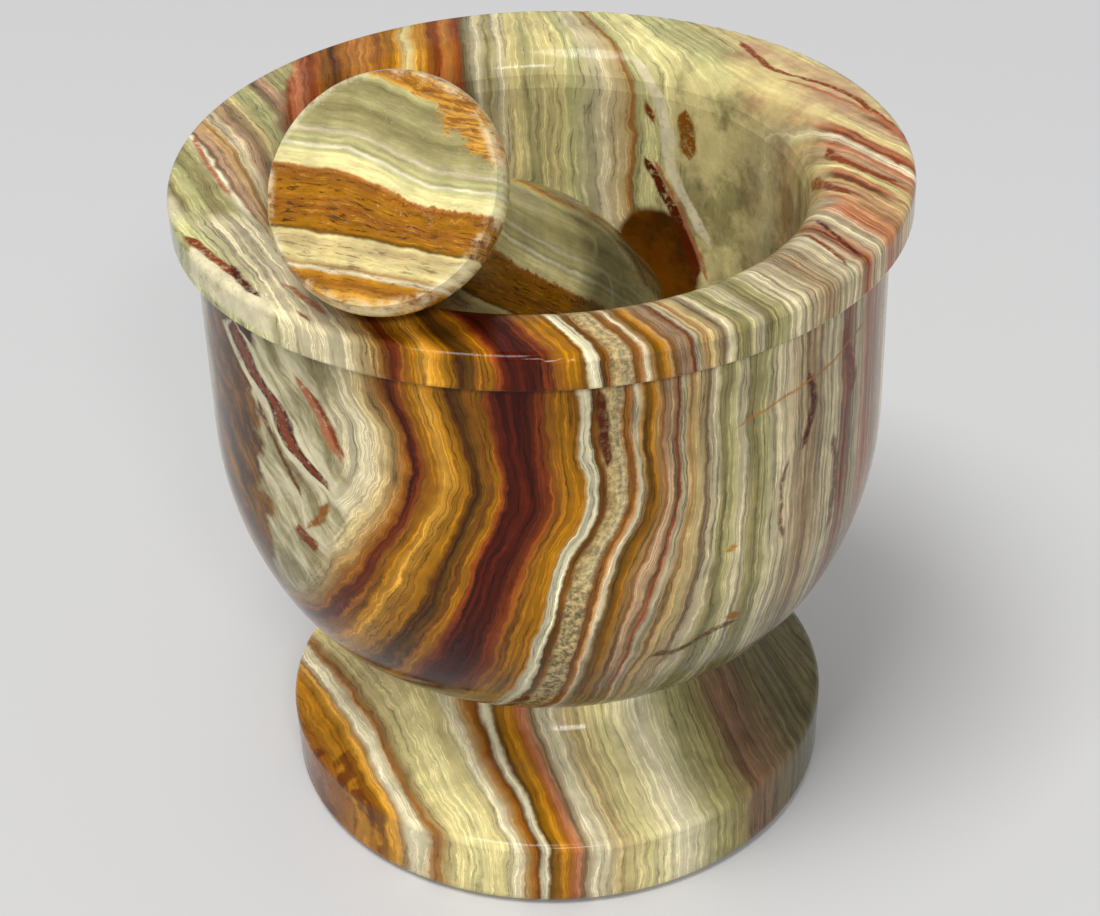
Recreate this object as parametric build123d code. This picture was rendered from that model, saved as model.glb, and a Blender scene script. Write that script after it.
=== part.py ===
from build123d import *

import os
from math import cos, radians, sin

# Mortar and pestle turned from banded onyx, modelled at rest.
# Millimetres, +Z up, origin at the middle of the foot's flat underside.
# The mortar is one block of stone: foot, neck, bowl and rim are one piece.
# The pestle is loose.  Its round tip rests low at the back of the bowl and its
# waist lies over the front of the lip, a little to the left.

# mortar
RIM_RADIUS = 51.0
HEIGHT = 100.0
RIM_BAND = 5.3            # height of the plain band round the rim
RIM_UNDERCUT = 1.2        # rounding in the corner under the rim
RIM_LOW_EDGE = 0.6        # rounding of the rim's lower edge
RIM_TOP_EDGE = 1.1        # rounding of the rim's upper edge
WALL_RADIUS = 48.0        # outside of the bowl's straight wall
WALL_START = 64.0         # height where the straight wall begins
BELLY_ROUND = 50.0        # radius of the easy round below the wall
BELLY_TURN = -28.7        # degrees below level where the tighter round takes over
UNDER_ROUND = 22.0        # radius of the tighter round under the bowl
UNDER_END = -75.5         # degrees below level where it runs into the neck
NECK_COVE = 5.5           # radius of the neck's hollow
FOOT_RADIUS = 40.9
FOOT_BAND = 11.4          # height of the foot's plain band
FOOT_SHOULDER = 1.1       # the flare starts this far in from the band
FOOT_EDGE = 1.6           # reach of the foot's softened edges
MOUTH_RADIUS = 36.5
LIP_ROUND = 6.4           # rolled edge between the lip and the mouth
LIP_END = 162             # degrees from the X axis where the roll stops short of the bore
BORE_END = 72.1           # height where the bore turns into the round floor

# pestle, measured along its own axis from the middle of the round tip
HEAD_RADIUS = 16.1
HEAD_STRAIGHT = 12.0      # straight part above the round tip
TAPER_ROUND = 105.0       # radius of the long taper above it
TAPER_TURN = 18.7         # degrees that the taper turns before it hollows out
FACE_AT = 80.9            # flat end
KNOB_RADIUS = 15.3
KNOB_UNDER = 75.6         # underside of the knob
KNOB_BULGE = 79.0         # where the knob is widest
KNOB_UNDER_EDGE = 1.4     # the underside ends this far in from the knob's side
KNOB_FACE_EDGE = 0.7      # the flat end stops this far in from the knob's side
WAIST_RADIUS = 8.3

# pestle at rest in the bowl
HEAD_AT = (2.3, 17.8, 63.2)
LEAN = 48.4               # degrees from upright
LEAN_HEADING = 249.1      # degrees in plan that the stem leans towards


def on_arc(centre, radius, angle):
    """Point on a circle, the angle in degrees from the X axis."""
    return (centre[0] + radius * cos(radians(angle)),
            centre[1] + radius * sin(radians(angle)))


def revolve_outline(outline):
    """Full turn of a half section drawn with radius on X and height on Y."""
    face = make_face(outline.edges())
    upright = Plane.XZ * face
    return revolve(upright, axis=Axis.Z)


def foot_outline():
    """Flat underside, plain band and its softened edges."""
    shoulder = (FOOT_RADIUS - FOOT_SHOULDER, FOOT_BAND)
    flat_end = (FOOT_RADIUS - FOOT_EDGE, 0)
    band_low = (FOOT_RADIUS - FOOT_EDGE / 8, FOOT_EDGE * 1.25)
    band_high = (FOOT_RADIUS, FOOT_BAND - FOOT_EDGE)
    Line((0, 0), flat_end)
    ThreePointArc(flat_end, (FOOT_RADIUS - FOOT_EDGE * 3 / 8, FOOT_EDGE * 3 / 8), band_low)
    Line(band_low, band_high)
    ThreePointArc(band_high, (FOOT_RADIUS - 0.25, FOOT_BAND - 0.5), shoulder)
    return shoulder


def belly_outline(shoulder):
    """Flare of the foot, hollow of the neck and the two rounds of the bowl."""
    belly = (WALL_RADIUS - BELLY_ROUND, WALL_START)
    under = on_arc(belly, BELLY_ROUND - UNDER_ROUND, BELLY_TURN)
    cove = on_arc(under, UNDER_ROUND + NECK_COVE, UNDER_END)
    cove_low = on_arc(cove, NECK_COVE, 225)
    join = on_arc(under, UNDER_ROUND, UNDER_END)
    turn = on_arc(belly, BELLY_ROUND, BELLY_TURN)
    TangentArc(cove_low, shoulder, tangent=(1, -1))
    ThreePointArc(cove_low, on_arc(cove, NECK_COVE, 180), join)
    ThreePointArc(join, on_arc(under, UNDER_ROUND, (UNDER_END + BELLY_TURN) / 2), turn)
    ThreePointArc(turn, on_arc(belly, BELLY_ROUND, BELLY_TURN / 2), (WALL_RADIUS, WALL_START))


def rim_outline():
    """Straight wall, overhanging rim band and flat lip with a rolled edge."""
    under = HEIGHT - RIM_BAND
    wall_end = (WALL_RADIUS, under - RIM_UNDERCUT)
    under_start = (WALL_RADIUS + RIM_UNDERCUT, under)
    band_low = (RIM_RADIUS, under + RIM_LOW_EDGE)
    band_high = (RIM_RADIUS, HEIGHT - RIM_TOP_EDGE)
    lip_start = (RIM_RADIUS - RIM_TOP_EDGE, HEIGHT)
    roll = (MOUTH_RADIUS + LIP_ROUND, HEIGHT - LIP_ROUND)
    roll_start = (roll[0], HEIGHT)
    Line((WALL_RADIUS, WALL_START), wall_end)
    RadiusArc(wall_end, under_start, RIM_UNDERCUT)
    Line(under_start, (RIM_RADIUS - RIM_LOW_EDGE, under))
    RadiusArc((RIM_RADIUS - RIM_LOW_EDGE, under), band_low, -RIM_LOW_EDGE)
    Line(band_low, band_high)
    RadiusArc(band_high, lip_start, -RIM_TOP_EDGE)
    Line(lip_start, roll_start)
    roll_end = on_arc(roll, LIP_ROUND, LIP_END)
    ThreePointArc(roll_start, on_arc(roll, LIP_ROUND, (90 + LIP_END) / 2), roll_end)
    Line(roll_end, (MOUTH_RADIUS, HEIGHT - LIP_ROUND))


def bore_outline():
    """Straight bore and the round floor of the bowl, down to the axis."""
    middle = (0, BORE_END)
    Line((MOUTH_RADIUS, HEIGHT - LIP_ROUND), (MOUTH_RADIUS, BORE_END))
    ThreePointArc((MOUTH_RADIUS, BORE_END), on_arc(middle, MOUTH_RADIUS, -45),
                  on_arc(middle, MOUTH_RADIUS, -90))
    Line((0, BORE_END - MOUTH_RADIUS), (0, 0))


def make_mortar():
    with BuildLine() as outline:
        shoulder = foot_outline()
        belly_outline(shoulder)
        rim_outline()
        bore_outline()
    return revolve_outline(outline)


def make_pestle_upright():
    """Round-tipped club head, hollowed waist and flat-ended knob along +Z."""
    tip = (0, 0)
    taper = (HEAD_RADIUS - TAPER_ROUND, HEAD_STRAIGHT)
    taper_end = on_arc(taper, TAPER_ROUND, TAPER_TURN)
    waist_round = (taper_end[0] - WAIST_RADIUS) / (1 - cos(radians(TAPER_TURN)))
    waist_middle = on_arc(taper, TAPER_ROUND + waist_round, TAPER_TURN)
    waist = (WAIST_RADIUS, waist_middle[1])
    under = (KNOB_RADIUS - KNOB_UNDER_EDGE, KNOB_UNDER)
    face_edge = (KNOB_RADIUS - KNOB_FACE_EDGE, FACE_AT)
    with BuildLine() as outline:
        ThreePointArc((0, -HEAD_RADIUS), on_arc(tip, HEAD_RADIUS, -45), (HEAD_RADIUS, 0))
        Line((HEAD_RADIUS, 0), (HEAD_RADIUS, HEAD_STRAIGHT))
        ThreePointArc((HEAD_RADIUS, HEAD_STRAIGHT), on_arc(taper, TAPER_ROUND, TAPER_TURN / 2), taper_end)
        ThreePointArc(taper_end, on_arc(waist_middle, waist_round, 180 + TAPER_TURN / 2), waist)
        TangentArc(waist, under, tangent=(0, 1))
        ThreePointArc(under, (KNOB_RADIUS, KNOB_BULGE), face_edge)
        Line(face_edge, (0, FACE_AT))
        Line((0, FACE_AT), (0, -HEAD_RADIUS))
    return revolve_outline(outline)


def make_pestle():
    """The pestle leaned over and set down in the bowl."""
    upright = make_pestle_upright()
    leaned = upright.rotate(Axis.Y, LEAN).rotate(Axis.Z, LEAN_HEADING)
    return leaned.translate(HEAD_AT)


os.makedirs("parts", exist_ok=True)
export_step(make_mortar(), "parts/mortar.step")
export_step(make_pestle(), "parts/pestle.step")
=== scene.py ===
"""Banded onyx mortar and pestle: stone, floor, camera and light for the CAD pieces.

Both stones are worked out from the place of each point on the stone, in
millimetres, so that a pattern moves with its piece.
"""
import math

import bpy
from mathutils import Matrix, Vector


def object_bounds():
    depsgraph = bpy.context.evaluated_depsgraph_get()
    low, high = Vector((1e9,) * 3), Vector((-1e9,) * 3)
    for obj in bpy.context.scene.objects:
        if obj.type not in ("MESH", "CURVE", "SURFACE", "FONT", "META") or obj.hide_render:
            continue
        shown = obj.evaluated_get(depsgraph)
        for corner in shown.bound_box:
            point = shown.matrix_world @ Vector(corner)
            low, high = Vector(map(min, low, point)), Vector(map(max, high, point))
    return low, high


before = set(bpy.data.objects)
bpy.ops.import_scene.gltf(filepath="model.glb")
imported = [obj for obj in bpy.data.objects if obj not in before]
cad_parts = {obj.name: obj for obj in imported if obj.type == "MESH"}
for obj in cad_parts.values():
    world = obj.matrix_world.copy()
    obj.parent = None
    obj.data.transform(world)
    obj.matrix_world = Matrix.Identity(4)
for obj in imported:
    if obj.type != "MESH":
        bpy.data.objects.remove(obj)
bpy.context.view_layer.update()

MM = 0.001                             # metres in a millimetre

# mortar, in millimetres
RIM_LOW = 94.0                         # just under the rim band
RIM_VEINS_START = 96.0                 # the rim's own veins show from here up
NECK_HEIGHT = 25.0                     # the foot's layers end here
BORE_RADIUS = 36.5
MOUTH_RADIUS = 42.0                    # the bore's own stone fades in from here inwards

# pestle at rest, as the CAD has it, in millimetres and degrees
TIP_AT = Vector((2.3, 17.8, 63.2))     # middle of the round tip
LEAN = math.radians(48.4)              # from upright
HEADING = math.radians(249.1)          # the way it leans, in plan
FACE_AT = 80.9                         # flat end, from the middle of the tip
KNOB_EDGE = 14.0                       # radius of the painted highlight along the flat end's rounded edge


# ---------------------------------------------------------------- colours

def srgb(red, green, blue):
    """Linear colour from everyday 0 to 255 values."""
    def linear(value):
        value /= 255
        return value / 12.92 if value <= 0.04045 else ((value + 0.055) / 1.055) ** 2.4
    return (linear(red), linear(green), linear(blue), 1.0)


STONE = {
    "umber": srgb(64, 36, 8),
    "bark": srgb(92, 50, 4),
    "olive_brown": srgb(94, 62, 8),
    "maroon": srgb(84, 32, 10),
    "wine": srgb(72, 20, 6),
    "rust": srgb(122, 54, 16),
    "sienna": srgb(136, 82, 20),
    "ochre": srgb(150, 98, 8),
    "amber": srgb(174, 118, 24),
    "gold": srgb(200, 144, 50),
    "orange": srgb(168, 110, 48),
    "tan": srgb(158, 122, 70),
    "taupe": srgb(136, 112, 80),
    "mauve": srgb(112, 84, 62),
    "salmon": srgb(166, 102, 66),
    "pink": srgb(182, 148, 112),
    "beige": srgb(184, 162, 112),
    "cream": srgb(206, 190, 130),
    "butter": srgb(214, 202, 142),
    "chalk": srgb(214, 204, 168),
    "pearl": srgb(190, 178, 142),
    "moss": srgb(128, 118, 74),
    "sage": srgb(156, 148, 100),
    "celadon": srgb(176, 172, 118),
    "slate": srgb(96, 88, 60),
}


# ---------------------------------------------------------------- node graphs

class Graph:
    """Short calls for building one material's node tree."""

    def __init__(self, name):
        self.material = bpy.data.materials.new(name)
        self.material.use_nodes = True
        self.tree = self.material.node_tree
        self.shader = self.tree.nodes["Principled BSDF"]

    def put(self, socket, value):
        """Link a socket, or set a plain value."""
        if isinstance(value, bpy.types.NodeSocket):
            self.tree.links.new(value, socket)
        elif value is not None:
            socket.default_value = value

    def node(self, kind, **settings):
        made = self.tree.nodes.new(kind)
        for key, value in settings.items():
            setattr(made, key, value)
        return made

    def math(self, operation, *values):
        made = self.node("ShaderNodeMath", operation=operation)
        for socket, value in zip(made.inputs, values):
            self.put(socket, value)
        return made.outputs[0]

    def add(self, first, *rest):
        for value in rest:
            first = self.math("ADD", first, value)
        return first

    def times(self, first, *rest):
        for value in rest:
            first = self.math("MULTIPLY", first, value)
        return first

    def vector(self, operation, first, second=None, scale=None):
        made = self.node("ShaderNodeVectorMath", operation=operation)
        self.put(made.inputs[0], first)
        self.put(made.inputs[1], second)
        if scale is not None:
            self.put(made.inputs["Scale"], scale)
        return made.outputs["Value"] if operation == "DOT_PRODUCT" else made.outputs[0]

    def split(self, vector):
        made = self.node("ShaderNodeSeparateXYZ")
        self.put(made.inputs[0], vector)
        return made.outputs

    def join(self, x, y, z):
        made = self.node("ShaderNodeCombineXYZ")
        for socket, value in zip(made.inputs, (x, y, z)):
            self.put(socket, value)
        return made.outputs[0]

    def noise(self, vector, scale, detail=2.0, roughness=0.5):
        """Smooth noise from about 0 to 1."""
        made = self.node("ShaderNodeTexNoise")
        self.put(made.inputs["Vector"], vector)
        made.inputs["Scale"].default_value = scale
        made.inputs["Detail"].default_value = detail
        made.inputs["Roughness"].default_value = roughness
        return made.outputs["Fac"]

    def sway(self, vector, scale, reach, detail=1.0):
        """Noise that swings evenly about zero."""
        return self.times(self.math("SUBTRACT", self.noise(vector, scale, detail), 0.5), 2 * reach)

    def between(self, value, low, high, out_low=0.0, out_high=1.0, smooth=True):
        """Goes from out_low to out_high as the value goes from low to high, and holds past both."""
        made = self.node("ShaderNodeMapRange")
        made.interpolation_type = "SMOOTHSTEP" if smooth else "LINEAR"
        for socket, part in zip(made.inputs, (value, low, high, out_low, out_high)):
            self.put(socket, part)
        return made.outputs[0]

    def curve(self, value, points, reach):
        """Smooth curve through (position, value) points, the values within plus or minus reach."""
        low, high = points[0][0], points[-1][0]
        made = self.node("ShaderNodeFloatCurve")
        spline = made.mapping.curves[0]
        for index, (position, height) in enumerate(points):
            corner = ((position - low) / (high - low), height / (2 * reach) + 0.5)
            if index < 2:
                spline.points[index].location = corner
            else:
                spline.points.new(*corner)
        made.mapping.update()
        self.put(made.inputs["Value"], self.between(value, low, high, smooth=False))
        return self.times(self.math("SUBTRACT", made.outputs[0], 0.5), 2 * reach)

    def layers(self, value, stops):
        """Colours laid out along a length; at most 32 stops go into one ramp."""
        low, high = stops[0][0], stops[-1][0]
        made = self.node("ShaderNodeValToRGB")
        ramp = made.color_ramp
        while len(ramp.elements) < len(stops):
            ramp.elements.new(0.5)
        for element, stop in zip(ramp.elements, stops):
            element.position = (stop[0] - low) / (high - low)
        for element, stop in zip(ramp.elements, stops):
            element.color = STONE[stop[1]]
        self.put(made.inputs[0], self.between(value, low, high, smooth=False))
        return made.outputs[0]

    def mix(self, amount, first, second):
        """Mix of two colours, through the node's colour sockets 6, 7 and 2."""
        made = self.node("ShaderNodeMix", data_type="RGBA")
        self.put(made.inputs[0], amount)
        self.put(made.inputs[6], first)
        self.put(made.inputs[7], second)
        return made.outputs[2]

    def blend(self, amount, first, second):
        """Mix of two numbers, through the node's number sockets 2, 3 and 0."""
        made = self.node("ShaderNodeMix", data_type="FLOAT")
        self.put(made.inputs[0], amount)
        self.put(made.inputs[2], first)
        self.put(made.inputs[3], second)
        return made.outputs[0]

    def shade(self, colour, amount):
        """Colour made lighter or darker by a factor."""
        made = self.node("ShaderNodeHueSaturation")
        self.put(made.inputs["Value"], amount)
        self.put(made.inputs["Color"], colour)
        return made.outputs[0]


# ---------------------------------------------------------------- mortar stone

# Sideways fold of the front layers by height: one for the gold and maroon
# layers on the left, one for the white layer and what is right of it.
FOLD_LEFT = [(24, -9), (40, -9), (50, -7.7), (60, -5.5), (65, -4.0), (70, -1.9), (75, 0.2), (79, 1.0),
             (84, 0.5), (90, -1.2), (100, -2.0)]
FOLD_MIDDLE = [(24, -7.5), (40, -7.5), (50, -7.0), (60, -5.0), (66, -3.7), (72, -1.0), (77, 0.6),
               (85, 0.0), (92, -0.3), (100, -1.2)]

FOLD_REACH = 12.0      # no fold is larger than this

# Layers from left to right: how far across them, in millimetres, and the stone.
FRONT_SPLIT = 7.2      # the front's first colour ramp ends here and the next begins
FRONT_LEFT = [(-30, "celadon"), (-26, "pearl"), (-21, "pearl"), (-19.5, "beige"), (-18.3, "tan"),
              (-17.4, "sienna"), (-16.6, "wine"), (-16.0, "rust"), (-15.4, "sienna"), (-14.4, "ochre"),
              (-13.2, "gold"), (-11.8, "amber"), (-10.6, "ochre"), (-10.0, "bark"), (-9.4, "umber"),
              (-8.9, "olive_brown"), (-7.9, "sienna"), (-6.9, "ochre"), (-6.1, "rust"), (-5.4, "wine"),
              (-2.4, "wine"), (-1.4, "maroon"), (-0.5, "rust"), (0.4, "sienna"), (2.0, "ochre"),
              (3.7, "ochre"), (4.0, "tan"), (4.3, "chalk"), (5.5, "chalk"), (5.9, "olive_brown"),
              (6.6, "sienna"), (FRONT_SPLIT, "tan")]
FRONT_RIGHT = [(FRONT_SPLIT, "tan"), (8.2, "beige"), (9.3, "pearl"), (9.9, "sienna"), (11.0, "orange"),
               (11.8, "chalk"), (12.3, "tan"), (12.9, "olive_brown"), (14.0, "ochre"), (15.0, "tan"),
               (15.6, "bark"), (16.3, "pink"), (17.3, "taupe"), (18.0, "rust"), (18.7, "pearl"),
               (20.0, "tan"), (21.5, "beige"), (22.8, "taupe"), (24.2, "pearl"), (25.6, "moss"),
               (27.5, "sage"), (29.5, "pearl"), (31.5, "moss"), (34.0, "sage"), (37.0, "pearl"),
               (45.0, "taupe"), (53.0, "pearl"), (57.0, "rust"), (62.0, "pearl"), (66.0, "salmon"),
               (80.0, "beige")]

BACK = [(-40, "taupe"), (-38.2, "rust"), (-36.5, "salmon"), (-34.5, "rust"),
        (-32.5, "sienna"), (-31, "umber"), (-29.5, "sienna"), (-27, "orange"), (-24, "sienna"),
        (-21.5, "amber"), (-20, "cream"), (-18.7, "gold"), (-16.8, "sienna"), (-15.2, "rust"),
        (-13.8, "orange"), (-12.2, "rust"), (-11, "slate"), (-9.2, "pearl"), (-8, "moss"),
        (-6, "pearl"), (-4.5, "cream"), (-2.2, "sage"), (1, "cream"), (3, "celadon"), (6, "pearl"),
        (8.4, "beige"), (9.1, "sienna"), (9.8, "celadon"), (14.5, "butter"), (18, "celadon"),
        (23, "sage"), (30, "cream")]

RIM_LEFT = [(-62, "pearl"), (-57, "sage"), (-54, "chalk"), (-52, "moss"), (-50, "celadon"), (-48, "moss"),
            (-45.5, "sage"), (-44.3, "chalk"), (-43.6, "mauve"), (-42.6, "pink"), (-40.5, "tan"),
            (-39, "pearl"), (-37.5, "pink"), (-36, "taupe"), (-34.5, "beige"), (-33, "sage"),
            (-31, "celadon"), (-29, "mauve"), (-27.5, "pink"), (-26, "sage")]

RIM_RIGHT = [(22, "mauve"), (23.5, "beige"), (25, "rust"), (26.5, "taupe"), (28, "chalk"), (29.5, "salmon"),
             (31, "beige"), (32, "rust"), (33, "pink"), (34.5, "tan"), (35.5, "wine"), (36.5, "salmon"),
             (38, "cream"), (39.5, "rust"), (41, "pink"), (43, "salmon"), (44.5, "chalk"), (46, "rust"),
             (47.5, "salmon"), (49.5, "cream"), (52, "pink"), (54, "rust"), (55.5, "beige"), (58, "pink"),
             (61, "cream"), (65, "celadon"), (68, "rust"), (70, "slate"), (74, "moss")]

FOOT = [(-28, "umber"), (-25.5, "sienna"), (-24, "amber"), (-22, "ochre"), (-20.6, "gold"),
        (-19.8, "tan"), (-19, "chalk"), (-17.6, "pearl"), (-16.8, "orange"), (-16, "tan"),
        (-14.8, "cream"), (-11, "butter"), (-8, "cream"), (-6.4, "chalk"), (-5, "tan"),
        (-4, "sienna"), (-3.2, "bark"), (-2.7, "chalk"), (-2.1, "chalk"), (-1.5, "olive_brown"),
        (0.4, "amber"), (1.4, "sienna"), (2.2, "salmon"), (3.8, "taupe"), (5.5, "chalk"),
        (9, "beige"), (14, "butter"), (20, "chalk"), (26, "sage"), (31, "moss"), (35, "mauve"),
        (46, "slate")]

# Veins: stone, half width and the path.
BELLY_VEINS = [  # height, then x
    ("chalk", 2.4, [(72, -29.5), (76.5, -33), (81, -35), (84, -37.5), (92, -41)]),
    ("wine", 1.4, [(72, -28.6), (74, -30), (77, -33.5), (82.5, -35.5), (85, -38), (92, -41)]),
    ("rust", 0.7, [(72, -28.6), (74, -30), (77, -33.5), (82.5, -35.5), (85, -38), (92, -41)]),
    ("bark", 0.4, [(68, -32.5), (73, -34.5), (78, -37), (83, -38.5)]),
    ("sienna", 0.6, [(63.5, -33.5), (66.5, -31), (69, -29.8), (72, -29)]),
    ("rust", 1.5, [(60.5, -31.5), (65.5, -34)]),
    ("salmon", 0.9, [(77, -26), (81, -28), (85, -29.5), (90, -33)]),
    ("rust", 0.4, [(77.5, -25.5), (81, -27.2), (85, -28.7), (89, -31.5)]),
    ("wine", 0.5, [(73.5, 32.6), (79, 34.2), (83.5, 34.3), (87.5, 33.2)]),
    ("rust", 0.6, [(76, 40.2), (82, 40.3), (86, 39.2), (91, 39.2)]),
    ("mauve", 0.35, [(56, 37), (66, 38.2), (75, 37.5)]),
    ("mauve", 0.3, [(60, 31), (70, 30.2), (76, 31.6)]),
    ("maroon", 0.7, [(80, 7.4), (87, 6.8), (94, 6.2)]),
]
BELLY_CRACKS = [  # x, then height
    ("orange", 0.2, [(22, 82.3), (29, 84.2), (36, 85), (44, 87.5)]),
    ("olive_brown", 0.5, [(11, 47), (14, 48), (16, 47.6), (20, 49.3), (26, 50)]),
    ("ochre", 0.9, [(22.3, 51.5), (25.6, 51)]),
    ("amber", 0.6, [(22, 64), (25, 64.3)]),
]
RIM_VEINS = [  # y, then x
    ("chalk", 1.5, [(-39, -33), (-30, -40), (-20, -46)]),
    ("rust", 0.8, [(-31, -38), (-25, -42), (-17, -47.5)]),
    ("wine", 0.6, [(-36, -35), (-30, -38.5), (-25, -40.5)]),
    ("salmon", 0.5, [(-41, -26.5), (-36, -29.5), (-30, -34)]),
    ("rust", 0.35, [(-42.5, -28), (-37, -32)]),
    ("salmon", 0.4, [(-9, -41), (0, -45), (12, -49)]),
    ("rust", 0.7, [(-11, 49.5), (-8, 46), (-2, 41), (4, 39.5)]),
    ("rust", 0.5, [(-6, 48.8), (0, 47.4)]),
    ("rust", 0.6, [(-14, 42), (-8, 38.5), (0, 37)]),
    ("wine", 0.35, [(-31, 41), (-24, 38), (-17, 35)]),
    ("rust", 0.35, [(-33, 39), (-26, 36), (-20, 32.5)]),
    ("rust", 0.6, [(5, 50), (12, 47), (18, 44), (23, 39), (26, 35), (32, 32), (38, 30)]),
    ("salmon", 0.5, [(0, 51), (9, 48), (15, 44), (21, 38.5), (25, 33)]),
]
BORE_VEINS = [  # height, then x
    ("chalk", 0.9, [(70, 26), (77, 22), (83, 19.5), (88, 19), (95, 17), (100, 13)]),
    ("rust", 0.6, [(88, 17.4), (94, 15.6)]),
    ("maroon", 0.9, [(64, 24), (75, 20), (80, 17.5), (84.5, 15)]),
    ("salmon", 0.4, [(64, 25.5), (75, 21.2), (80, 18.8), (84.5, 16.2)]),
    ("sienna", 1.2, [(83.5, 22.3), (93.5, 21.5)]),
]
SPAN = 120.0           # veins lie within this far of the mortar's axis
TAPER = 3.0            # the longest taper at a vein's end
VEIN_EDGE = 0.3        # the soft edge of a vein, added to its half width

# Streaks in the left lens lean this far: the x and z shares of the way across them.
SLASH_X = 0.86
SLASH_Z = 0.5

# A round dark patch low on the bore's wall, as x and height.
PATCH_X, PATCH_HEIGHT = 17.5, 66.0
PATCH_HALF_WIDTH, PATCH_HALF_HEIGHT = 6.5, 9.0

# Places in the noise where the lines between layers fall.
PALE_LINE = 0.57
DARK_LINE = 0.41


def stone_place(graph):
    """The point on the stone in millimetres, in the part's frame at rest."""
    where = graph.node("ShaderNodeTexCoord").outputs["Object"]
    return graph.vector("SCALE", where, scale=1 / MM)


def crinkle(graph, place):
    """How far layers wander: broad bends, small waves and a fine crinkled edge."""
    return graph.add(graph.sway(place, 0.05, 1.0), graph.sway(place, 0.17, 0.6),
                     graph.sway(place, 0.42, 0.45, detail=2.0), graph.sway(place, 1.6, 0.14, detail=2.0))


class Spot:
    """A point of the mortar in millimetres, with the wanderings that its layers share."""

    def __init__(self, graph):
        self.place = stone_place(graph)
        self.x, self.y, self.z = graph.split(self.place)
        squares = graph.add(graph.times(self.x, self.x), graph.times(self.y, self.y))
        self.radius = graph.math("SQRT", squares)
        self.drift = graph.sway(self.place, 0.12, 3.0, detail=2.0)
        self.bend = crinkle(graph, self.place)
        self.ragged_x = graph.add(self.x, graph.sway(self.place, 0.35, 0.55, detail=3.0))
        self.ragged_y = graph.add(self.y, graph.sway(self.place, 0.43, 0.4, detail=2.0))
        self.ragged_z = graph.add(self.z, graph.sway(self.place, 0.37, 0.6, detail=3.0))
        self.grain = graph.noise(self.place, 1.1, detail=5.0, roughness=0.75)
        self.below_rim = graph.times(graph.between(self.z, RIM_LOW, RIM_LOW + 1, 1.0, 0.0),
                                     graph.between(self.radius, BORE_RADIUS + 0.5, BORE_RADIUS + 1.5))
        self.in_bore = graph.between(self.radius, MOUTH_RADIUS, BORE_RADIUS)


def across_layers(graph, spot, slope, start):
    """Distance across layers that lean sideways by slope for each step in y from start."""
    return graph.add(spot.x, graph.times(slope, graph.add(spot.y, -start)), spot.bend)


def banded(graph, spot, depth, stops, pitch=1.2, reach=0.38, threads=0.6):
    """Layer colours with softly shaded lines and crisp pale and dark threads in them."""
    along = graph.join(graph.times(depth, pitch), graph.times(spot.y, 0.03), graph.times(spot.z, 0.03))
    lines = graph.noise(along, 1.0, detail=4.0, roughness=0.65)
    pale = graph.math("ABSOLUTE", graph.math("SUBTRACT", lines, PALE_LINE))
    dark = graph.math("ABSOLUTE", graph.math("SUBTRACT", lines, DARK_LINE))
    tone = graph.times(graph.between(lines, 0.34, 0.66, 1 - reach, 1 + reach, smooth=False),
                       graph.between(pale, 0.008, 0.022, 1 + 0.9 * threads, 1.0),
                       graph.between(dark, 0.006, 0.02, 1 - 0.9 * threads, 1.0))
    return graph.shade(graph.layers(depth, stops), tone)


def veined(graph, colour, spot, veins, along, across, region):
    """Draw grainy veins that taper to both ends."""
    grainy = graph.times(region, graph.between(spot.grain, 0.34, 0.52, 0.45, 1.0))
    for name, half_width, path in veins:
        start, end = path[0][0], path[-1][0]
        taper = min(TAPER, (end - start) / 2)
        middle = graph.curve(along, path, SPAN)
        gap = graph.math("ABSOLUTE", graph.math("SUBTRACT", across, middle))
        width = graph.times(graph.between(along, start, start + taper, 0.0, half_width + VEIN_EDGE),
                            graph.between(along, end - taper, end, 1.0, 0.0))
        inside = graph.math("SUBTRACT", width, gap)
        mask = graph.times(graph.between(inside, 0.02, 0.6), grainy)
        colour = graph.mix(mask, colour, STONE[name])
    return colour


def mottled(graph, colour, spot, mask, dark, light):
    """Cloudy stone."""
    cloud = graph.noise(spot.place, 0.13, detail=5.0, roughness=0.62)
    return graph.mix(mask, colour, graph.mix(graph.between(cloud, 0.4, 0.6), STONE[dark], STONE[light]))


def left_lens(graph, colour, spot, depth):
    """The streaky pale lens on the left of the belly, with the dark stone beyond it."""
    edge = graph.add(spot.x, graph.sway(spot.place, 0.25, 3.0, detail=3.0))
    athwart = graph.add(graph.times(SLASH_X, spot.x), graph.times(SLASH_Z, spot.z),
                        graph.times(0.7, spot.drift))
    endlong = graph.add(graph.times(-SLASH_Z, spot.x), graph.times(SLASH_X, spot.z))
    streak = graph.noise(graph.join(graph.times(0.42, athwart), graph.times(0.07, endlong), 0.0),
                         1.0, detail=5.0, roughness=0.65)
    marble = graph.mix(graph.between(streak, 0.4, 0.64), STONE["moss"], STONE["chalk"])
    marble = graph.mix(graph.between(streak, 0.4, 0.34, 0.0, 0.8), marble, STONE["mauve"])
    pale = graph.times(graph.between(edge, -26, -28.5, 0.0, 0.88), graph.between(depth, -18.5, -20.5),
                       graph.between(spot.z, 42, 48), spot.below_rim)
    colour = graph.mix(pale, colour, marble)
    stretched = graph.join(graph.times(0.3, athwart), graph.times(0.08, endlong), graph.times(0.12, spot.y))
    cloud = graph.noise(stretched, 1.0, detail=6.0, roughness=0.7)
    browns = graph.mix(graph.between(cloud, 0.4, 0.7), STONE["umber"], STONE["ochre"])
    dark = graph.times(graph.between(edge, -37.8, -39.2), spot.below_rim)
    return graph.mix(dark, colour, browns)


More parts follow.
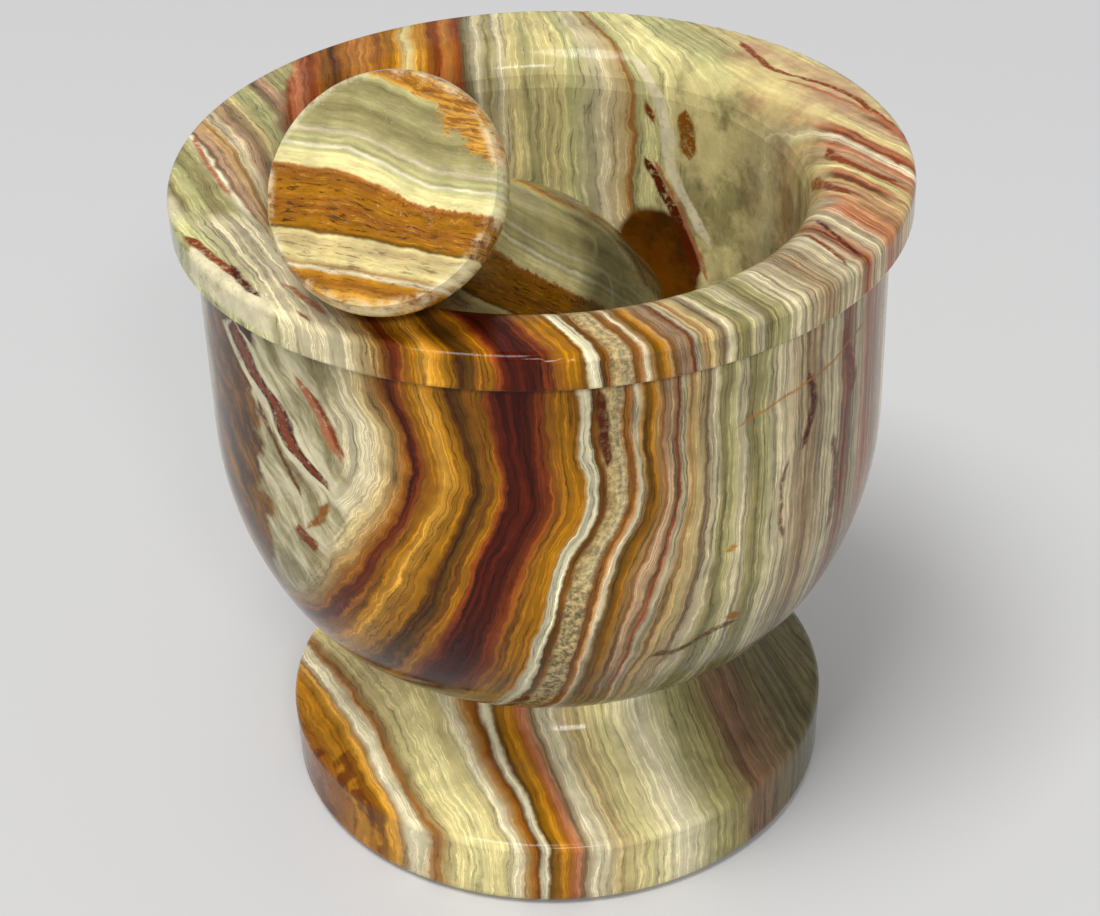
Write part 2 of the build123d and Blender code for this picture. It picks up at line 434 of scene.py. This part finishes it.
def crystals(graph, colour, spot, depth):
    """Grainy crystal bands beside the white layer."""
    tone = graph.between(spot.grain, 0.4, 0.62, 0.35, 1.35)
    band = graph.times(graph.between(depth, 6.6, 7.4), graph.between(depth, 10.2, 9.4))
    mask = graph.times(band, graph.between(spot.z, 66, 60, 0.6, 1.0))
    return graph.mix(mask, colour, graph.shade(STONE["beige"], tone))


def foot_colour(graph, spot):
    """Layers of the foot, with maroon blotches at the left."""
    depth = across_layers(graph, spot, 0.45, -41.0)
    colour = banded(graph, spot, depth, FOOT, 1.0, 0.22, 0.45)
    blotch = graph.times(graph.between(graph.noise(spot.place, 0.11, detail=4.0), 0.5, 0.56),
                         graph.between(depth, -21, -23))
    return graph.mix(graph.times(blotch, 0.8), colour, STONE["maroon"])


def front_colour(graph, spot):
    """Layers that fold with height, the lens, crystals and veins in them, and painted shade low on the
    belly and on its right flank.
    """
    slope = graph.add(0.45, graph.times(graph.math("MAXIMUM", spot.x, 0.0), 0.01))
    fold = graph.blend(graph.between(spot.x, -14, 0), graph.curve(spot.z, FOLD_LEFT, FOLD_REACH),
                       graph.curve(spot.z, FOLD_MIDDLE, FOLD_REACH))
    share = graph.between(spot.x, 8, 26, 1.0, 0.1)
    depth = graph.math("SUBTRACT", across_layers(graph, spot, slope, -48.0), graph.times(fold, share))
    colour = graph.mix(graph.math("GREATER_THAN", depth, FRONT_SPLIT),
                       banded(graph, spot, depth, FRONT_LEFT), banded(graph, spot, depth, FRONT_RIGHT))
    colour = crystals(graph, colour, spot, depth)
    colour = left_lens(graph, colour, spot, depth)
    colour = veined(graph, colour, spot, BELLY_VEINS, spot.ragged_z, spot.ragged_x, spot.below_rim)
    colour = veined(graph, colour, spot, BELLY_CRACKS, spot.ragged_x, spot.ragged_z, spot.below_rim)
    # Painted shade: the colour darkens towards the bottom of the belly and on the belly's right flank,
    # where the light falls off.
    painted_shade = graph.times(graph.between(spot.z, 26, 60, 0.3, 1.0),
                        graph.between(graph.times(spot.below_rim, spot.x), 32, 42, 1.0, 0.62))
    return graph.shade(colour, painted_shade)


def bore_details(graph, colour, spot):
    """Cloudy stone, a dark patch and the veins on the wall of the bore."""
    cloudy = graph.times(spot.in_bore, graph.between(graph.add(spot.x, spot.drift), 17, 22, 0.0, 0.75))
    colour = mottled(graph, colour, spot, cloudy, "moss", "cream")
    aside = graph.times(graph.add(spot.ragged_x, -PATCH_X), 1 / PATCH_HALF_WIDTH)
    above = graph.times(graph.add(spot.ragged_z, -PATCH_HEIGHT), 1 / PATCH_HALF_HEIGHT)
    from_patch = graph.add(graph.times(aside, aside), graph.times(above, above))
    patch = graph.times(graph.between(from_patch, 1.15, 0.8), spot.in_bore)
    colour = mottled(graph, colour, spot, patch, "umber", "bark")
    return veined(graph, colour, spot, BORE_VEINS, spot.ragged_z, spot.ragged_x, spot.in_bore)


def back_colour(graph, spot):
    """Layers of the back, and of the right and left sides of the rim."""
    slope = graph.between(spot.x, -6, 16, 0.1, 0.55)
    colour = banded(graph, spot, across_layers(graph, spot, slope, 43.0), BACK, 1.0, 0.22, 0.45)
    colour = bore_details(graph, colour, spot)
    wandered_x = graph.add(spot.x, spot.drift)
    wandered_y = graph.add(spot.y, spot.drift)
    at_right = graph.times(graph.between(wandered_x, 27, 33),
                           graph.between(spot.in_bore, 0.2, 0.8, 1.0, 0.4))
    flank = banded(graph, spot, across_layers(graph, spot, 0.75, 0.0), RIM_RIGHT, 1.1, 0.25)
    colour = graph.mix(at_right, colour, flank)
    corner = graph.add(wandered_x, graph.times(0.9, spot.y))
    cloudy = graph.times(at_right, graph.between(wandered_y, 6, 14), graph.between(corner, 68, 64),
                         graph.between(spot.z, 90, 95, 0.2, 0.8))
    colour = mottled(graph, colour, spot, cloudy, "pink", "cream")
    shore = banded(graph, spot, across_layers(graph, spot, 0.45, 0.0), RIM_LEFT, 1.1, 0.2)
    return graph.mix(graph.between(wandered_x, -36, -38), colour, shore)


def polish(graph, colour, place, grain, wear):
    """Colour with soft clouds, and a polish that is duller and slightly pitted in the grain."""
    cloud = graph.noise(place, 0.3, detail=5.0, roughness=0.6)
    colour = graph.shade(colour, graph.between(cloud, 0.3, 0.7, 0.82, 1.18, smooth=False))
    graph.put(graph.shader.inputs["Base Color"], colour)
    gloss = graph.between(grain, 0.35, 0.7, 0.08, 0.08 + wear, smooth=False)
    graph.put(graph.shader.inputs["Roughness"], gloss)
    pits = graph.node("ShaderNodeBump")
    pits.inputs["Strength"].default_value = 0.25
    pits.inputs["Distance"].default_value = 0.1 * MM
    graph.put(pits.inputs["Height"], graph.between(grain, 0.3, 0.42))
    graph.put(graph.shader.inputs["Normal"], pits.outputs[0])


def mortar_stone():
    """Green, cream, ochre and maroon onyx: foot, front, back and the lip's veins."""
    graph = Graph("banded_onyx")
    spot = Spot(graph)
    foot = foot_colour(graph, spot)
    front = front_colour(graph, spot)
    back = back_colour(graph, spot)
    colour = graph.mix(graph.between(graph.add(spot.y, spot.drift), -16, -11), front, back)
    on_rim = graph.between(spot.z, RIM_VEINS_START - 0.5, RIM_VEINS_START + 0.5)
    colour = veined(graph, colour, spot, RIM_VEINS, spot.ragged_y, spot.ragged_x, on_rim)
    colour = graph.mix(graph.between(spot.z, NECK_HEIGHT - 1, NECK_HEIGHT + 1), foot, colour)
    polish(graph, colour, spot.place, spot.grain, 0.1)
    graph.shader.inputs["Specular IOR Level"].default_value = 0.14
    return graph.material


# ---------------------------------------------------------------- pestle stone

PESTLE_LAYERS = [(-16, "butter"), (-13.6, "gold"), (-12.6, "sienna"), (-11.4, "amber"), (-11.0, "chalk"),
                 (-10.6, "tan"), (-10.0, "cream"), (-7.6, "beige"), (-7.0, "cream"), (-6.7, "olive_brown"),
                 (-6.2, "ochre"), (-4.2, "sienna"), (-2.6, "ochre"), (-0.6, "sienna"), (-0.1, "orange"),
                 (0.2, "butter"), (1.9, "butter"), (2.3, "celadon"), (2.8, "chalk"), (3.2, "sage"),
                 (3.7, "celadon"), (4.3, "sage"), (4.7, "pearl"), (5.4, "sage"), (8.0, "moss"),
                 (9.0, "sage"), (11.2, "moss"), (12.0, "celadon"), (12.6, "gold"), (13.2, "sienna"),
                 (14.2, "amber"), (17, "bark")]

# Directions of the flat end: out of it, level across it, and up it.
TO_FACE = Vector((math.sin(LEAN) * math.cos(HEADING), math.sin(LEAN) * math.sin(HEADING), math.cos(LEAN)))
ACROSS_FACE = Vector((-math.sin(HEADING), math.cos(HEADING), 0))
UP_FACE = TO_FACE.cross(ACROSS_FACE)
FACE_CENTRE = TIP_AT + FACE_AT * TO_FACE


def pestle_layers(graph, place, across, up):
    """Distance across the pestle's layers, with a step in them and one toothed edge."""
    step = graph.between(across, -6, 8, 1.3, -1.6)
    level = graph.between(up, -7, -1, 0.15, 1.0)
    depth = graph.add(up, graph.times(-1.0, step, level), graph.times(0.6, crinkle(graph, place)))
    tooth = graph.math("ABSOLUTE", graph.sway(place, 0.9, 1.5, 3.0))
    edge = graph.times(graph.between(depth, 2.2, -0.4), graph.between(depth, -3, -1),
                       graph.between(across, -3, 4))
    return graph.math("SUBTRACT", depth, graph.times(tooth, edge))


def rough_layers(graph, colour, depth, dashes):
    """Short dark and gold dashes in the brown layers."""
    brown = graph.times(graph.between(depth, 0.0, -0.8), graph.between(depth, -6.8, -6.2))
    outer = graph.math("MAXIMUM", graph.between(depth, -7.2, -7.8), graph.between(depth, 12.0, 12.8))
    rough = graph.math("MAXIMUM", brown, graph.times(0.6, outer))
    dark = graph.times(rough, graph.between(dashes, 0.46, 0.38, 0.0, 0.9))
    bright = graph.times(rough, graph.between(dashes, 0.56, 0.66, 0.0, 0.6))
    return graph.mix(bright, graph.mix(dark, colour, STONE["umber"]), STONE["gold"])


def face_details(graph, colour, across, up, towards, flecks, dashes):
    """Ochre corner of the flat end, and a painted highlight along its rounded edge."""
    corner = graph.add(up, graph.times(0.75, across), graph.times(14.0, graph.add(flecks, -0.5)))
    ochre = graph.times(graph.between(corner, 13.2, 14.2, 0.0, 0.9), graph.between(up, 4, 6),
                        graph.between(towards, -26, -16))
    browns = graph.mix(graph.between(dashes, 0.42, 0.58), STONE["sienna"], STONE["gold"])
    colour = graph.mix(ochre, colour, browns)
    out = graph.math("SQRT", graph.add(graph.times(across, across), graph.times(up, up)))
    # Painted highlight: a pale chalk ring along the flat end's rounded edge, broken up by flecks.
    painted_edge_highlight = graph.times(graph.between(out, KNOB_EDGE - 0.6, KNOB_EDGE + 0.6),
                       graph.between(flecks, 0.42, 0.6, 0.0, 0.55),
                       graph.between(towards, -3, -1))
    return graph.mix(painted_edge_highlight, colour, STONE["chalk"])


def head_details(graph, colour, place, towards):
    """The darker, greyer club head with faint pale veins."""
    head = graph.between(towards, -42, -50)
    colour = graph.mix(graph.times(0.5, head), colour, STONE["slate"])
    colour = graph.shade(colour, graph.between(head, 0.0, 1.0, 1.0, 0.5, smooth=False))
    veins = graph.math("ABSOLUTE", graph.add(graph.noise(place, 0.06, detail=2.0), -0.5))
    return graph.mix(graph.times(head, graph.between(veins, 0.0, 0.03, 0.35, 0.0)), colour, STONE["sage"])


def pestle_stone():
    """Sage green and cream onyx with rough brown layers."""
    graph = Graph("sage_onyx")
    place = stone_place(graph)
    from_face = graph.vector("SUBTRACT", place, FACE_CENTRE)
    across = graph.vector("DOT_PRODUCT", from_face, ACROSS_FACE)
    up = graph.vector("DOT_PRODUCT", from_face, UP_FACE)
    towards = graph.vector("DOT_PRODUCT", from_face, TO_FACE)
    depth = pestle_layers(graph, place, across, up)
    streaks = graph.join(graph.times(depth, 1.5), graph.times(across, 0.16), graph.times(towards, 0.05))
    lines = graph.noise(streaks, 1.0, detail=5.0, roughness=0.7)
    tone = graph.between(lines, 0.32, 0.68, 0.72, 1.28, smooth=False)
    colour = graph.shade(graph.layers(depth, PESTLE_LAYERS), tone)
    stretched = graph.join(graph.times(depth, 2.4), graph.times(across, 0.32), graph.times(towards, 0.2))
    dashes = graph.noise(stretched, 1.0, detail=5.0, roughness=0.7)
    colour = rough_layers(graph, colour, depth, dashes)
    flecks = graph.noise(place, 0.3, detail=6.0, roughness=0.75)
    colour = face_details(graph, colour, across, up, towards, flecks, dashes)
    colour = head_details(graph, colour, place, towards)
    grain = graph.noise(place, 1.1, detail=5.0, roughness=0.75)
    polish(graph, colour, place, grain, 0.14)
    graph.shader.inputs["Specular IOR Level"].default_value = 0.25
    return graph.material


def dress(node, material):
    """Give one piece its stone."""
    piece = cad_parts[node]
    piece.data.materials.clear()
    piece.data.materials.append(material)


dress("mortar", mortar_stone())
dress("pestle", pestle_stone())


# ---------------------------------------------------------------- studio

CAMERA_RISE = math.radians(33.9)
CAMERA_ROLL = math.radians(-1.79)
CAMERA_AWAY = 0.3693
CAMERA_LENS = 81.8                 # millimetres, on a sensor 36 mm wide
CAMERA_TARGET = Vector((0, 0, 0.051))
LIT_POINT = (0, 0, 0.06)           # what the lights face
FLOOR_REACH = 6.0
FLOOR_GAP = 0.0002
FLOOR_GREY = 0.56
SKY_STRENGTH = 0.35


def aim(thing, target):
    """Turn a camera or a light to face a point."""
    thing.rotation_mode = "QUATERNION"
    thing.rotation_quaternion = (Vector(target) - thing.location).to_track_quat("-Z", "Y")


def make_camera():
    """The camera stands in front of the mortar and looks down at it."""
    data = bpy.data.cameras.new("camera")
    data.lens = CAMERA_LENS
    data.sensor_width = 36
    data.clip_start = 0.01
    camera = bpy.data.objects.new("camera", data)
    bpy.context.scene.collection.objects.link(camera)
    back = Vector((0, -math.cos(CAMERA_RISE), math.sin(CAMERA_RISE)))
    camera.location = CAMERA_TARGET + back * CAMERA_AWAY
    aim(camera, CAMERA_TARGET)
    roll = Matrix.Rotation(CAMERA_ROLL, 3, "Z").to_quaternion()
    camera.rotation_quaternion = camera.rotation_quaternion @ roll
    bpy.context.scene.camera = camera


def make_floor():
    """A plain pale floor just under the foot."""
    mesh = bpy.data.meshes.new("floor")
    reach = FLOOR_REACH
    corners = [(-reach, -reach, 0), (reach, -reach, 0), (reach, reach, 0), (-reach, reach, 0)]
    mesh.from_pydata(corners, [], [(0, 1, 2, 3)])
    floor = bpy.data.objects.new("floor", mesh)
    floor.location.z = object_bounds()[0][2] - FLOOR_GAP
    bpy.context.scene.collection.objects.link(floor)
    graph = Graph("floor_paper")
    graph.shader.inputs["Base Color"].default_value = (FLOOR_GREY, FLOOR_GREY, FLOOR_GREY, 1)
    graph.shader.inputs["Roughness"].default_value = 0.9
    floor.data.materials.append(graph.material)


def make_light(name, place, size, watts):
    """A soft rectangular light that faces the mortar."""
    data = bpy.data.lights.new(name, "AREA")
    data.shape = "RECTANGLE"
    data.size, data.size_y = size
    data.energy = watts
    light = bpy.data.objects.new(name, data)
    light.location = place
    bpy.context.scene.collection.objects.link(light)
    aim(light, LIT_POINT)


def make_studio():
    """An even white sky, one soft light from above and one from the front."""
    world = bpy.data.worlds.new("studio")
    world.use_nodes = True
    sky = world.node_tree.nodes["Background"]
    sky.inputs["Color"].default_value = (1, 1, 1, 1)
    sky.inputs["Strength"].default_value = SKY_STRENGTH
    bpy.context.scene.world = world
    make_light("overhead", (-0.5, -0.7, 2.4), (1.0, 1.0), 49)
    make_light("window", (0.25, -2.2, 1.7), (0.9, 0.26), 28)
    bpy.context.scene.view_settings.view_transform = "Standard"


make_camera()
make_floor()
make_studio()
